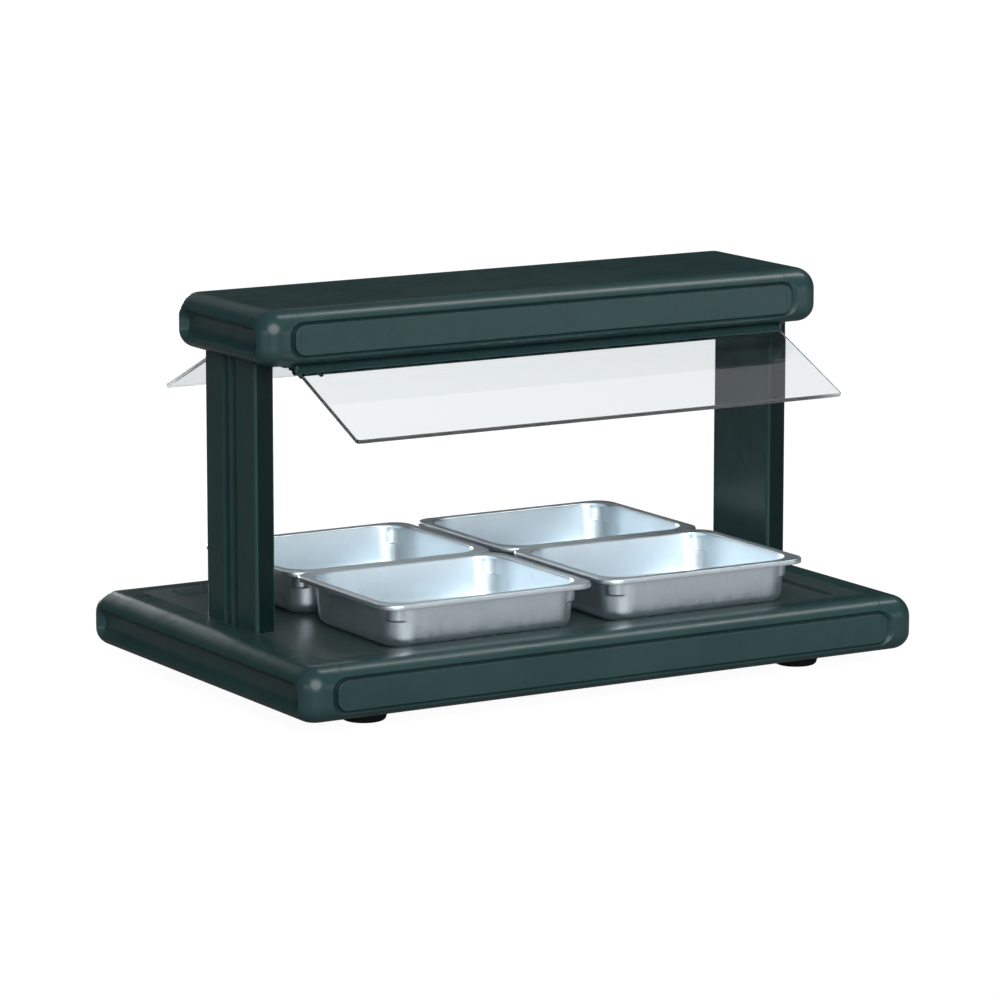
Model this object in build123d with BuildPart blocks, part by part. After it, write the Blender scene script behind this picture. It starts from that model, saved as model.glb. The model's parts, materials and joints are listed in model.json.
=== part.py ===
from build123d import *
from math import cos, radians, sin
import os

os.makedirs("parts", exist_ok=True)

# Sizes in millimetres. X runs along the warmer, +Y to the operator's side, +Z up.
# The origin is on the table, under the middle of the warmer.

# Pans of the standard half size, which set the size of the base
pan_length = 325.0
pan_width = 265.0
pan_depth = 65.0
pan_column_gap = 15.0
pan_row_gap = 1.0
pan_end_clearance = 58.5
pan_wall = 1.0
pan_rim_width = 13.0
pan_rim_thickness = 1.2
pan_rim_lip = 7.0
pan_rim_corner = 28.0
pan_corner = 42.0
pan_bottom_round = 18.0
pan_draft = 5.0
pan_seat_gap = 0.2

# Main heights and depths
floor_gap = 22.0
rail_height = 75.0
serving_height = 363.0
canopy_depth = 262.0
canopy_overhang = 19.0

# Rails and end castings of the base and the canopy
rail_wall = 3.0
top_round = 30.0
bottom_round = 24.0
corner_flat = 1.0
end_width = 58.5
base_rail_width = 55.5
canopy_rail_width = 48.0
base_rail_flange = 42.0
base_end_flange = 40.0
canopy_rail_flange = 36.0
canopy_end_flange = 17.0
pocket_depth = 7.0
pocket_height = 45.0
pocket_rise = 11.0
pocket_corner = 17.0
pocket_slope = 45.0
front_pocket_inset = 41.5
side_pocket_inset = 20.0
groove_depth = 10.0
groove_height = 58.5
groove_rise = 6.0
groove_corner = 24.0
face_set_back = 1.5
face_lap = 1.0
cove_depth = 12.0
cove_radius = 27.5
strap_length = 40.0
strap_height = 24.0
strap_thickness = 3.0

# Heated base
plate_recess = 5.0
plate_thickness = 3.0
surround_thickness = 1.5
surround_end_lap = 2.0
surround_rail_lap = 5.5
surround_gap = 0.2
recess_corner = 8.0
recess_tuck = 7.5
recess_ledge = 13.5
post_setback = 2.0
post_gap = 0.3
post_seam_gap = 1.0
blanket_thickness = 2.5
blanket_end_gap = 21.0
blanket_width = 420.0
blanket_corner = 4.0
blanket_shift = -30.0
insulation_thickness = 28.0
sheet_thickness = 1.5
sheet_gap = 0.5
sheet_corner = 12.0
channel_width = 60.0
channel_lip = 12.0
channel_spacing = 440.0
channel_length = 410.0

# Feet
foot_radius = 33.0
foot_tread_radius = 28.5
foot_tread_round = 5.0
foot_shoulder = 15.0
foot_inset_x = 140.0
foot_inset_y = 95.0
foot_screw_radius = 3.0
foot_screw_length = 24.0
foot_screw_head_radius = 5.5
foot_screw_head_height = 4.0
foot_well_radius = 7.5
foot_well_depth = 9.0
foot_nut_size = 10.0
foot_nut_height = 5.0

# Posts
post_thickness = 30.0
post_depth = 143.0
post_wall = 3.0
post_edge_round = 6.0
post_head_gap = 3.0
flute_count = 2
flute_pitch = 22.0
flute_width = 17.0
flute_depth = 4.5
angle_leg = 40.0
angle_thickness = 4.0
angle_length = 120.0
conduit_wall = 1.5
conduit_gap = 0.3
conduit_margin = 14.0

# Fasteners
screw_radius = 2.0
screw_head_radius = 3.8
screw_head_height = 2.4
screw_length = 12.0
screw_fit = 0.1
rail_screw_inset = 33.0
end_screw_inset = 32.5
sheet_screw_end_inset = 232.5
sheet_screw_spacing_y = 300.0
post_screw_spacing = 80.0
post_screw_rise = 24.0

# Canopy
top_plate_thickness = 1.5
top_plate_inset_x = 36.0
top_plate_inset_y = 36.0
top_plate_gap = 0.2
heater_end_inset = 110.0
heater_opening_depth = 96.0
reflector_thickness = 1.0
reflector_height = 46.0
reflector_top_depth = 50.0
reflector_flange = 12.0
element_radius = 4.0
element_rise = 24.0
element_overhang = 12.0
terminal_radius = 1.6
terminal_length = 14.0
bushing_radius = 8.0
bushing_flange_radius = 12.0
bushing_flange = 3.0
bushing_length = 9.0
bushing_fit = 0.05
wire_radius = 1.2
cross_wire_radius = 0.9
wire_spacing = 46.0
wire_hook = 6.0

# Guards, hinged under the canopy's front and rear rails
guard_end_inset = 62.0
guard_tilt = 24.0
guard_reach = 176.5
glass_thickness = 6.0
glass_corner = 5.0
glass_fit = 0.1
pivot_inset = 21.0
pivot_drop = 8.0
clamp_thickness = 9.0
clamp_tail = 8.0
clamp_front = 12.0
clamp_grip = 8.0
pin_radius = 2.0
pin_fit = 0.05
pin_depth = 15.0
pin_head_radius = 3.4
pin_head = 1.6
ear_thickness = 4.0
ear_radius = 5.5
ear_gap = 0.3
ear_tab = 16.0
ear_tab_thickness = 3.0
clamp_screw_inset = 33.0
clamp_screw_radius = 1.8
clamp_screw_head_radius = 3.5
clamp_screw_head = 5.0

# Controls in the rear pocket
panel_length = 170.0
panel_height = 28.0
panel_thickness = 1.0
panel_corner = 4.0
panel_end_inset = 232.5
knob_offset = -40.0
switch_offset = 25.0
indicator_offset = 60.0
knob_radius = 14.0
knob_skirt = 4.0
knob_grip_width = 9.0
knob_grip_height = 11.0
knob_grip_length = 24.0
knob_edge_round = 1.5
knob_gap = 0.4
shaft_radius = 3.0
shaft_fit = 0.05
shaft_in_knob = 10.0
shaft_in_body = 12.0
thermostat_width = 44.0
thermostat_height = 34.0
thermostat_depth = 32.0
thermostat_boss_radius = 5.0
capillary_radius = 1.2
capillary_bend = 8.0
bulb_radius = 3.0
bulb_length = 90.0
bulb_gap = 5.0
switch_width = 15.0
switch_height = 24.0
switch_bezel = 1.8
switch_bezel_border = 1.2
switch_bezel_corner = 1.0
switch_body_depth = 22.0
switch_wall = 1.6
rocker_half_height = 9.0
rocker_rise = 3.2
rocker_dip = 1.6
rocker_root = 3.0
rocker_tilt = 8.0
rocker_gap = 0.5
rocker_side_gap = 0.3
trunnion_radius = 1.5
trunnion_length = 0.9
trunnion_fit = 0.05
indicator_radius = 5.5
indicator_barrel_radius = 4.2
indicator_flange = 3.0
indicator_length = 20.0
indicator_round = 2.1
gland_end_inset = 112.5
gland_flange_radius = 13.0
gland_flange = 4.5
gland_barrel_radius = 10.0
gland_barrel_length = 18.0
gland_bore_radius = 5.0
gland_nut_size = 28.0
gland_nut_height = 5.0
panel_fit = 0.1
terminal_block_length = 60.0
terminal_block_width = 22.0
terminal_block_height = 20.0
terminal_block_end_inset = 182.5
terminal_block_wall_gap = 20.0
terminal_well_radius = 4.0
terminal_well_depth = 8.0
terminal_count = 4

# Places that follow from the sizes
corner_round = top_round + corner_flat
recess_x = pan_column_gap / 2 + pan_length + pan_end_clearance
recess_y = pan_row_gap / 2 + pan_width - pan_rim_width - recess_tuck
post_inner_x = recess_x + post_setback
post_outer_x = post_inner_x + post_thickness
base_inner_x = post_outer_x + post_seam_gap
base_inner_y = recess_y + recess_ledge
base_width = 2 * (base_inner_x + end_width)
base_depth = 2 * (base_inner_y + base_rail_width)
canopy_width = 2 * (post_outer_x + canopy_overhang)
canopy_inner_x = canopy_width / 2 - end_width
canopy_inner_y = canopy_depth / 2 - canopy_rail_width
base_bottom = floor_gap
base_top = base_bottom + rail_height
canopy_bottom = base_top + serving_height
canopy_top = canopy_bottom + rail_height
plate_top = base_top - plate_recess
plate_bottom = plate_top - plate_thickness
blanket_bottom = plate_bottom - blanket_thickness
insulation_bottom = blanket_bottom - insulation_thickness
floor_sheet_bottom = base_bottom + rail_wall
floor_sheet_top = floor_sheet_bottom + sheet_thickness
ceiling_sheet_bottom = canopy_bottom + rail_wall
ceiling_sheet_top = ceiling_sheet_bottom + sheet_thickness
post_top = canopy_top - rail_wall - post_head_gap
pocket_back = pocket_depth + rail_wall
groove_back = groove_depth + rail_wall
cove_back = cove_depth + rail_wall
pocket_middle = base_bottom + pocket_rise + pocket_height / 2
blanket_length = 2 * (recess_x - blanket_end_gap)
panel_x = panel_end_inset - base_width / 2
knob_x = panel_x + knob_offset
switch_x = panel_x + switch_offset
indicator_x = panel_x + indicator_offset
gland_x = base_width / 2 - gland_end_inset
terminal_block_x = base_width / 2 - terminal_block_end_inset
sheet_screw_spacing_x = base_width - 2 * sheet_screw_end_inset


def write(builder, label):
    builder.part.label = label
    export_step(builder.part, f"parts/{label}.step")


def pocket_planes(width, depth, bottom, height, rise):
    # One plane on each outer face, looking inwards, in the middle of its pocket
    middle = bottom + rise + height / 2
    return {
        "front": Plane((0, -depth / 2, middle), x_dir=(1, 0, 0), z_dir=(0, 1, 0)),
        "rear": Plane((0, depth / 2, middle), x_dir=(1, 0, 0), z_dir=(0, -1, 0)),
        "left": Plane((-width / 2, 0, middle), x_dir=(0, 1, 0), z_dir=(1, 0, 0)),
        "right": Plane((width / 2, 0, middle), x_dir=(0, 1, 0), z_dir=(-1, 0, 0)),
    }


def pocket_cuts(width, depth, bottom, grooved):
    # What each side loses, and the block behind it that stays solid. The ends have a round cove. The sides
    # named in grooved have a flat face with a groove round it, and the others a flat pocket.
    low = pocket_planes(width, depth, bottom, pocket_height, pocket_rise)
    tall = pocket_planes(width, depth, bottom, groove_height, groove_rise)
    front_length = width - 2 * front_pocket_inset
    side_length = depth - 2 * side_pocket_inset
    cuts, blocks = [], []
    for side in ("left", "right", "front", "rear"):
        if side in grooved:
            face, height, corner, back = tall[side], groove_height, groove_corner, groove_back
        else:
            face, height, corner, back = low[side], pocket_height, pocket_corner, pocket_back
        length = front_length
        if side in ("left", "right"):
            length, back = side_length, cove_back
        with BuildPart() as cut:
            with BuildSketch(face):
                RectangleRounded(length, height, corner)
            extrude(amount=back - rail_wall, taper=pocket_slope)
            if side in grooved:
                inset = 2 * (groove_depth - face_lap)
                with BuildSketch(face.offset(face_set_back)):
                    RectangleRounded(length - inset, height - inset, corner - inset / 2)
                extrude(amount=groove_depth, mode=Mode.SUBTRACT)
            elif side in ("left", "right"):
                section = Plane(face.origin, x_dir=face.z_dir, z_dir=face.x_dir)
                with BuildSketch(section):
                    with Locations((cove_depth - cove_radius, 0)):
                        Circle(cove_radius)
                extrude(amount=length / 2, both=True, mode=Mode.INTERSECT)
        with BuildPart() as block:
            with BuildSketch(face):
                RectangleRounded(length + 2 * rail_wall, height + 2 * rail_wall, corner + rail_wall)
            extrude(amount=back)
        cuts.append(cut.part)
        blocks.append(block.part)
    return cuts, blocks


def rounded_block(width, depth, bottom, inset):
    # Block with rounded upright corners, top edges and bottom edges, drawn in by inset all round
    with BuildPart() as block:
        with BuildSketch(Plane.XY.offset(bottom + inset)):
            RectangleRounded(width - 2 * inset, depth - 2 * inset, corner_round - inset)
        extrude(amount=rail_height - 2 * inset)
        fillet(block.faces().sort_by(Axis.Z)[-1].edges(), top_round - inset)
        fillet(block.faces().sort_by(Axis.Z)[0].edges(), bottom_round - inset)
    return block.part


def frame_shell(width, depth, bottom, end_flange, rail_flange, grooved):
    # Hollow block with a pocket in each side and an open underside
    cuts, blocks = pocket_cuts(width, depth, bottom, grooved)
    with BuildPart() as hollow:
        add(rounded_block(width, depth, bottom, rail_wall))
        for block in blocks:
            add(block, mode=Mode.SUBTRACT)
    with BuildPart() as shell:
        add(rounded_block(width, depth, bottom, 0))
        add(hollow.part, mode=Mode.SUBTRACT)
        for cut in cuts:
            add(cut, mode=Mode.SUBTRACT)
        with BuildSketch(Plane.XY.offset(bottom)):
            Rectangle(width - 2 * end_flange, depth - 2 * rail_flange)
        extrude(amount=bottom_round, mode=Mode.SUBTRACT)
    return shell.part


def screw(plane, head_radius, head_height, shank_radius, shank_length):
    # The head stands on the plane, the shank goes below it
    with BuildPart() as one:
        with BuildSketch(plane):
            Circle(head_radius)
        extrude(amount=head_height)
        with BuildSketch(plane):
            Circle(shank_radius)
        extrude(amount=-shank_length)
    return one.part


# Base frame: one shell, parted into two end castings and two rails. Its top is rebated
# for the plate's surround.
sheet_screw_places = [
    (x, y)
    for x in (-sheet_screw_spacing_x / 2, sheet_screw_spacing_x / 2)
    for y in (-(base_depth / 2 - rail_screw_inset), base_depth / 2 - rail_screw_inset)
] + [
    (x, y)
    for x in (-(base_width / 2 - end_screw_inset), base_width / 2 - end_screw_inset)
    for y in (-sheet_screw_spacing_y / 2, sheet_screw_spacing_y / 2)
]
surround_length = 2 * (base_inner_x + surround_end_lap)
surround_width = 2 * (base_inner_y + surround_rail_lap)

with BuildPart() as base_shell:
    add(frame_shell(base_width, base_depth, base_bottom, base_end_flange, base_rail_flange, ("front",)))
    with BuildSketch(Plane.XY.offset(base_bottom)):
        with Locations(*sheet_screw_places):
            Circle(screw_radius + screw_fit)
    extrude(amount=rail_wall, mode=Mode.SUBTRACT)
    with BuildSketch(Plane.XY.offset(base_top)):
        Rectangle(surround_length + 2 * surround_gap, surround_width + 2 * surround_gap)
    extrude(amount=-surround_thickness, mode=Mode.SUBTRACT)

with BuildPart() as base_left_end:
    add(base_shell.part)
    split(bisect_by=Plane.YZ.offset(-base_inner_x), keep=Keep.BOTTOM)
write(base_left_end, "base_left_end")

with BuildPart() as base_right_end:
    add(base_shell.part)
    split(bisect_by=Plane.YZ.offset(base_inner_x), keep=Keep.TOP)
write(base_right_end, "base_right_end")

with BuildPart() as base_front_rail:
    add(base_shell.part)
    split(bisect_by=Plane.YZ.offset(-base_inner_x), keep=Keep.TOP)
    split(bisect_by=Plane.YZ.offset(base_inner_x), keep=Keep.BOTTOM)
    split(bisect_by=Plane.XZ.offset(base_inner_y), keep=Keep.TOP)
write(base_front_rail, "base_front_rail")

# Planes on the rear rail, looking out to the operator
pocket_floor_y = base_depth / 2 - pocket_depth
pocket_inside_y = base_depth / 2 - pocket_back


def rear_plane(x, y):
    return Plane((x, y, pocket_middle), x_dir=(-1, 0, 0), z_dir=(0, 1, 0))


with BuildPart() as base_rear_rail:
    add(base_shell.part)
    split(bisect_by=Plane.YZ.offset(-base_inner_x), keep=Keep.TOP)
    split(bisect_by=Plane.YZ.offset(base_inner_x), keep=Keep.BOTTOM)
    split(bisect_by=Plane.XZ.offset(-base_inner_y), keep=Keep.BOTTOM)
    with BuildSketch(rear_plane(knob_x, pocket_inside_y)):
        Circle(thermostat_boss_radius + panel_fit)
    extrude(amount=rail_wall, mode=Mode.SUBTRACT)
    with BuildSketch(rear_plane(switch_x, pocket_inside_y)):
        Rectangle(switch_width + 2 * panel_fit, switch_height + 2 * panel_fit)
    extrude(amount=rail_wall, mode=Mode.SUBTRACT)
    with BuildSketch(rear_plane(indicator_x, pocket_inside_y)):
        Circle(indicator_barrel_radius + panel_fit)
    extrude(amount=rail_wall, mode=Mode.SUBTRACT)
    with BuildSketch(rear_plane(gland_x, pocket_inside_y)):
        Circle(gland_barrel_radius + panel_fit)
    extrude(amount=rail_wall, mode=Mode.SUBTRACT)
write(base_rear_rail, "base_rear_rail")

# Straps behind the pockets, which join the end castings to the rails
with BuildPart() as joint_straps:
    for half_x, half_y, bottom, rear_back in (
        (base_inner_x, base_depth / 2, base_bottom, pocket_back),
        (canopy_inner_x, canopy_depth / 2, canopy_bottom, groove_back),
    ):
        strap_z = bottom + pocket_rise + pocket_height / 2
        front_y = -(half_y - groove_back - strap_thickness / 2)
        rear_y = half_y - rear_back - strap_thickness / 2
        with Locations(*[(x, y, strap_z) for x in (-half_x, half_x) for y in (front_y, rear_y)]):
            Box(strap_length, strap_thickness, strap_height)
write(joint_straps, "joint_straps")

# Surround of the plate: a sheet ring flush with the top of the frame, cut out for the posts.
# Its walls go down to the plate.
post_middle_x = (post_outer_x + post_inner_x) / 2
plate_length = 2 * (recess_x + surround_thickness)
plate_width = 2 * (recess_y + surround_thickness)
plate_corner = recess_corner + surround_thickness

with BuildPart() as plate_surround:
    with BuildSketch(Plane.XY.offset(base_top)):
        Rectangle(surround_length, surround_width)
    extrude(amount=-surround_thickness)
    with BuildSketch(Plane.XY.offset(base_top)):
        RectangleRounded(plate_length, plate_width, plate_corner)
    extrude(amount=-plate_recess)
    with BuildSketch(Plane.XY.offset(base_top)):
        RectangleRounded(2 * recess_x, 2 * recess_y, recess_corner)
        with Locations((-post_middle_x, 0), (post_middle_x, 0)):
            Rectangle(post_thickness + 2 * post_gap, post_depth + 2 * post_gap)
    extrude(amount=-plate_recess, mode=Mode.SUBTRACT)
write(plate_surround, "plate_surround")

with BuildPart() as heated_plate:
    with BuildSketch(Plane.XY.offset(plate_bottom)):
        RectangleRounded(plate_length, plate_width, plate_corner)
    extrude(amount=plate_thickness)
write(heated_plate, "heated_plate")

with BuildPart() as heating_blanket:
    with BuildSketch(Plane((0, blanket_shift, blanket_bottom))):
        RectangleRounded(blanket_length, blanket_width, blanket_corner)
    extrude(amount=blanket_thickness)
write(heating_blanket, "heating_blanket")

with BuildPart() as insulation_board:
    with BuildSketch(Plane((0, blanket_shift, insulation_bottom))):
        Rectangle(blanket_length, blanket_width)
    extrude(amount=insulation_thickness)
write(insulation_board, "insulation_board")

# Channels that carry the insulation, the blanket and the plate above the floor sheet
with BuildPart() as support_channels:
    for channel_x in (-channel_spacing / 2, channel_spacing / 2):
        channel_height = insulation_bottom - floor_sheet_top
        channel_plane = Plane(
            (channel_x, blanket_shift, floor_sheet_top), x_dir=(1, 0, 0), z_dir=(0, -1, 0)
        )
        with BuildSketch(channel_plane):
            with Locations((0, channel_height / 2)):
                Rectangle(channel_width, channel_height)
                with Locations((0, -sheet_thickness / 2)):
                    Rectangle(
                        channel_width - 2 * sheet_thickness,
                        channel_height - sheet_thickness,
                        mode=Mode.SUBTRACT,
                    )
            with Locations((0, sheet_thickness / 2)):
                Rectangle(channel_width + 2 * channel_lip, sheet_thickness)
                Rectangle(channel_width - 2 * sheet_thickness, sheet_thickness, mode=Mode.SUBTRACT)
        extrude(amount=channel_length / 2, both=True)
write(support_channels, "support_channels")

# Floor sheet of the base, with its screws
foot_x = base_width / 2 - foot_inset_x
foot_y = base_depth / 2 - foot_inset_y
foot_places = {
    "foot_front_left": (-foot_x, -foot_y),
    "foot_front_right": (foot_x, -foot_y),
    "foot_rear_left": (-foot_x, foot_y),
    "foot_rear_right": (foot_x, foot_y),
}

with BuildPart() as base_floor_sheet:
    with BuildSketch(Plane.XY.offset(floor_sheet_bottom)):
        RectangleRounded(
            base_width - 2 * (bottom_round + sheet_gap),
            base_depth - 2 * (bottom_round + sheet_gap),
            sheet_corner,
        )
        with Locations(*sheet_screw_places):
            Circle(screw_radius + screw_fit, mode=Mode.SUBTRACT)
        with Locations(*foot_places.values()):
            Circle(foot_screw_radius + screw_fit, mode=Mode.SUBTRACT)
    extrude(amount=sheet_thickness)
write(base_floor_sheet, "base_floor_sheet")

with BuildPart() as floor_sheet_screws:
    for x, y in sheet_screw_places:
        seat = Plane((x, y, base_bottom), x_dir=(1, 0, 0), z_dir=(0, 0, -1))
        add(screw(seat, screw_head_radius, screw_head_height, screw_radius, screw_length))
write(floor_sheet_screws, "floor_sheet_screws")

# Feet: tapered rubber, each with a screw from below and a nut on the floor sheet
for foot_name, (x, y) in foot_places.items():
    with BuildPart() as foot:
        with BuildSketch(Plane((x, y, 0), x_dir=(1, 0, 0), z_dir=(0, -1, 0))):
            with BuildLine():
                FilletPolyline(
                    (0, 0),
                    (foot_tread_radius, 0),
                    (foot_radius, foot_shoulder),
                    (foot_radius, floor_sheet_bottom),
                    (0, floor_sheet_bottom),
                    radius=[foot_tread_round, foot_tread_round, screw_fit],
                )
                Line((0, floor_sheet_bottom), (0, 0))
            make_face()
        revolve(axis=Axis((x, y, 0), (0, 0, 1)))
        with BuildSketch(Plane((x, y, 0))):
            Circle(foot_well_radius)
        extrude(amount=foot_well_depth, mode=Mode.SUBTRACT)
        with BuildSketch(Plane((x, y, 0))):
            Circle(foot_screw_radius + screw_fit)
        extrude(amount=floor_sheet_bottom, mode=Mode.SUBTRACT)
    write(foot, foot_name)

with BuildPart() as foot_screws:
    for x, y in foot_places.values():
        seat = Plane((x, y, foot_well_depth), x_dir=(1, 0, 0), z_dir=(0, 0, -1))
        add(
            screw(
                seat,
                foot_screw_head_radius,
                foot_screw_head_height,
                foot_screw_radius,
                foot_screw_length,
            )
        )
write(foot_screws, "foot_screws")

with BuildPart() as foot_nuts:
    with BuildSketch(Plane.XY.offset(floor_sheet_top)):
        with Locations(*foot_places.values()):
            RegularPolygon(foot_nut_size / 2, 6, major_radius=False)
            Circle(foot_screw_radius + screw_fit, mode=Mode.SUBTRACT)
    extrude(amount=foot_nut_height)
write(foot_nuts, "foot_nuts")

# Posts: hollow, fluted outside, from the floor sheet up to the canopy's end castings
post_screw_levels = (floor_sheet_top + post_screw_rise, ceiling_sheet_top + post_screw_rise)
post_screw_ys = (-post_screw_spacing / 2, post_screw_spacing / 2)
post_hollow_thickness = post_thickness - 2 * post_wall - flute_depth


def post(side):
    # side is -1 on the left and +1 on the right
    outer = side * post_outer_x
    hollow_middle = side * (post_inner_x + post_wall + post_hollow_thickness / 2)
    with BuildPart() as one:
        with BuildSketch(Plane.XY.offset(floor_sheet_top)):
            with Locations((side * post_middle_x, 0)):
                RectangleRounded(post_thickness, post_depth, post_edge_round)
            with Locations((outer, 0)):
                with GridLocations(0, flute_pitch, 1, flute_count):
                    Rectangle(2 * flute_depth, flute_width, mode=Mode.SUBTRACT)
            with Locations((hollow_middle, 0)):
                Rectangle(post_hollow_thickness, post_depth - 2 * post_wall, mode=Mode.SUBTRACT)
        extrude(amount=post_top - floor_sheet_top)
        for level in post_screw_levels:
            with BuildSketch(Plane((side * post_inner_x, 0, level), x_dir=(0, 1, 0), z_dir=(side, 0, 0))):
                with Locations(*[(y, 0) for y in post_screw_ys]):
                    Circle(screw_radius + screw_fit)
            extrude(amount=post_wall, mode=Mode.SUBTRACT)
    return one


left_post = post(-1)
write(left_post, "left_post")
right_post = post(1)
write(right_post, "right_post")

# Angles at the foot and head of each post, on the floor and ceiling sheets
with BuildPart() as post_angles:
    for side in (-1, 1):
        for sheet_top, level in zip((floor_sheet_top, ceiling_sheet_top), post_screw_levels):
            corner = Plane((side * post_inner_x, 0, sheet_top), x_dir=(-side, 0, 0), z_dir=(0, side, 0))
            with BuildSketch(corner):
                Rectangle(angle_leg, angle_thickness, align=(Align.MIN, Align.MIN))
                Rectangle(angle_thickness, angle_leg, align=(Align.MIN, Align.MIN))
            extrude(amount=angle_length / 2, both=True)
            wall = Plane((side * post_inner_x, 0, level), x_dir=(0, 1, 0), z_dir=(-side, 0, 0))
            with BuildSketch(wall):
                with Locations(*[(y, 0) for y in post_screw_ys]):
                    Circle(screw_radius + screw_fit)
            extrude(amount=angle_thickness, mode=Mode.SUBTRACT)
write(post_angles, "post_angles")

with BuildPart() as post_screws:
    for side in (-1, 1):
        for level in post_screw_levels:
            for y in post_screw_ys:
                seat = Plane(
                    (side * (post_inner_x - angle_thickness), y, level),
                    x_dir=(0, 1, 0),
                    z_dir=(-side, 0, 0),
                )
                add(screw(seat, screw_head_radius, screw_head_height, screw_radius, screw_length))
write(post_screws, "post_screws")

# Conduit for the canopy's wires, inside the right post
conduit_radius = post_hollow_thickness / 2 - conduit_gap
with BuildPart() as riser_conduit:
    conduit_x = post_inner_x + post_wall + post_hollow_thickness / 2
    with BuildSketch(Plane((conduit_x, 0, floor_sheet_top + conduit_margin))):
        Circle(conduit_radius)
        Circle(conduit_radius - conduit_wall, mode=Mode.SUBTRACT)
    extrude(amount=post_top - floor_sheet_top - 2 * conduit_margin)
write(riser_conduit, "riser_conduit")

# Canopy frame
with BuildPart() as canopy_shell:
    add(
        frame_shell(
            canopy_width, canopy_depth, canopy_bottom, canopy_end_flange, canopy_rail_flange,
            ("front", "rear"),
        )
    )
    with BuildSketch(Plane.XY.offset(canopy_top)):
        Rectangle(canopy_width - 2 * top_plate_inset_x, canopy_depth - 2 * top_plate_inset_y)
    extrude(amount=-top_plate_thickness, mode=Mode.SUBTRACT)

with BuildPart() as canopy_left_end:
    add(canopy_shell.part)
    split(bisect_by=Plane.YZ.offset(-canopy_inner_x), keep=Keep.BOTTOM)
write(canopy_left_end, "canopy_left_end")

with BuildPart() as canopy_right_end:
    add(canopy_shell.part)
    split(bisect_by=Plane.YZ.offset(canopy_inner_x), keep=Keep.TOP)
write(canopy_right_end, "canopy_right_end")

with BuildPart() as canopy_front_rail:
    add(canopy_shell.part)
    split(bisect_by=Plane.YZ.offset(-canopy_inner_x), keep=Keep.TOP)
    split(bisect_by=Plane.YZ.offset(canopy_inner_x), keep=Keep.BOTTOM)
    split(bisect_by=Plane.XZ.offset(canopy_inner_y), keep=Keep.TOP)
write(canopy_front_rail, "canopy_front_rail")

with BuildPart() as canopy_rear_rail:
    add(canopy_shell.part)
    split(bisect_by=Plane.YZ.offset(-canopy_inner_x), keep=Keep.TOP)
    split(bisect_by=Plane.YZ.offset(canopy_inner_x), keep=Keep.BOTTOM)
    split(bisect_by=Plane.XZ.offset(-canopy_inner_y), keep=Keep.BOTTOM)
write(canopy_rear_rail, "canopy_rear_rail")

with BuildPart() as canopy_top_plate:
    with BuildSketch(Plane.XY.offset(canopy_top - top_plate_thickness)):
        Rectangle(
            canopy_width - 2 * (top_plate_inset_x + top_plate_gap),
            canopy_depth - 2 * (top_plate_inset_y + top_plate_gap),
        )
    extrude(amount=top_plate_thickness)
write(canopy_top_plate, "canopy_top_plate")

# Ceiling sheet, open under the heater and notched round the posts
heater_length = canopy_width - 2 * heater_end_inset
ceiling_length = canopy_width - 2 * (bottom_round + sheet_gap)
ceiling_width = canopy_depth - 2 * (bottom_round + sheet_gap)
ceiling_notch = ceiling_length / 2 - post_inner_x + post_gap
trough_bottom = heater_opening_depth / 2 + reflector_thickness
hook_x = heater_length / 2 - wire_spacing
hook_y = trough_bottom + reflector_flange / 2
hook_places = [(x, y) for x in (-hook_x, hook_x) for y in (-hook_y, hook_y)]

with BuildPart() as canopy_ceiling_sheet:
    with BuildSketch(Plane.XY.offset(ceiling_sheet_bottom)):
        RectangleRounded(ceiling_length, ceiling_width, sheet_corner)
        Rectangle(heater_length, heater_opening_depth, mode=Mode.SUBTRACT)
        notch_middle = ceiling_length / 2 - ceiling_notch / 2
        with Locations((-notch_middle, 0), (notch_middle, 0)):
            Rectangle(ceiling_notch, post_depth + 2 * post_gap, mode=Mode.SUBTRACT)
        with Locations(*hook_places):
            Circle(cross_wire_radius + screw_fit, mode=Mode.SUBTRACT)
    extrude(amount=sheet_thickness)
write(canopy_ceiling_sheet, "canopy_ceiling_sheet")

# Reflector: a folded trough on the ceiling sheet, closed at both ends
element_z = ceiling_sheet_top + element_rise
trough_top = reflector_top_depth / 2
reflector_plane = Plane((0, 0, ceiling_sheet_top), x_dir=(0, 1, 0), z_dir=(1, 0, 0))


def trough_outline(shrink):
    # Half-widths at the foot and the roof, and the roof's height, drawn in by shrink
    return [
        (-(trough_bottom - shrink), 0),
        (trough_bottom - shrink, 0),
        (trough_top - shrink, reflector_height - shrink),
        (-(trough_top - shrink), reflector_height - shrink),
    ]


with BuildPart() as reflector:
    with BuildSketch(reflector_plane):
        with BuildLine():
            Polyline(*trough_outline(0), close=True)
        make_face()
    extrude(amount=heater_length / 2, both=True)
    with BuildSketch(reflector_plane):
        with BuildLine():
            Polyline(*trough_outline(reflector_thickness), close=True)
        make_face()
    extrude(amount=heater_length / 2 - reflector_thickness, both=True, mode=Mode.SUBTRACT)
    with BuildSketch(Plane.XY.offset(ceiling_sheet_top)):
        Rectangle(heater_length, 2 * (trough_bottom + reflector_flange))
        Rectangle(
            heater_length - 2 * reflector_thickness,
            2 * (trough_bottom - reflector_thickness),
            mode=Mode.SUBTRACT,
        )
        with Locations(*hook_places):
            Circle(cross_wire_radius + screw_fit, mode=Mode.SUBTRACT)
    extrude(amount=reflector_thickness)
    with BuildSketch(Plane.YZ.offset(-heater_length / 2)):
        with Locations((0, element_z)):
            Circle(bushing_radius + bushing_fit)
    extrude(amount=heater_length, mode=Mode.SUBTRACT)
write(reflector, "reflector")

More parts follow.
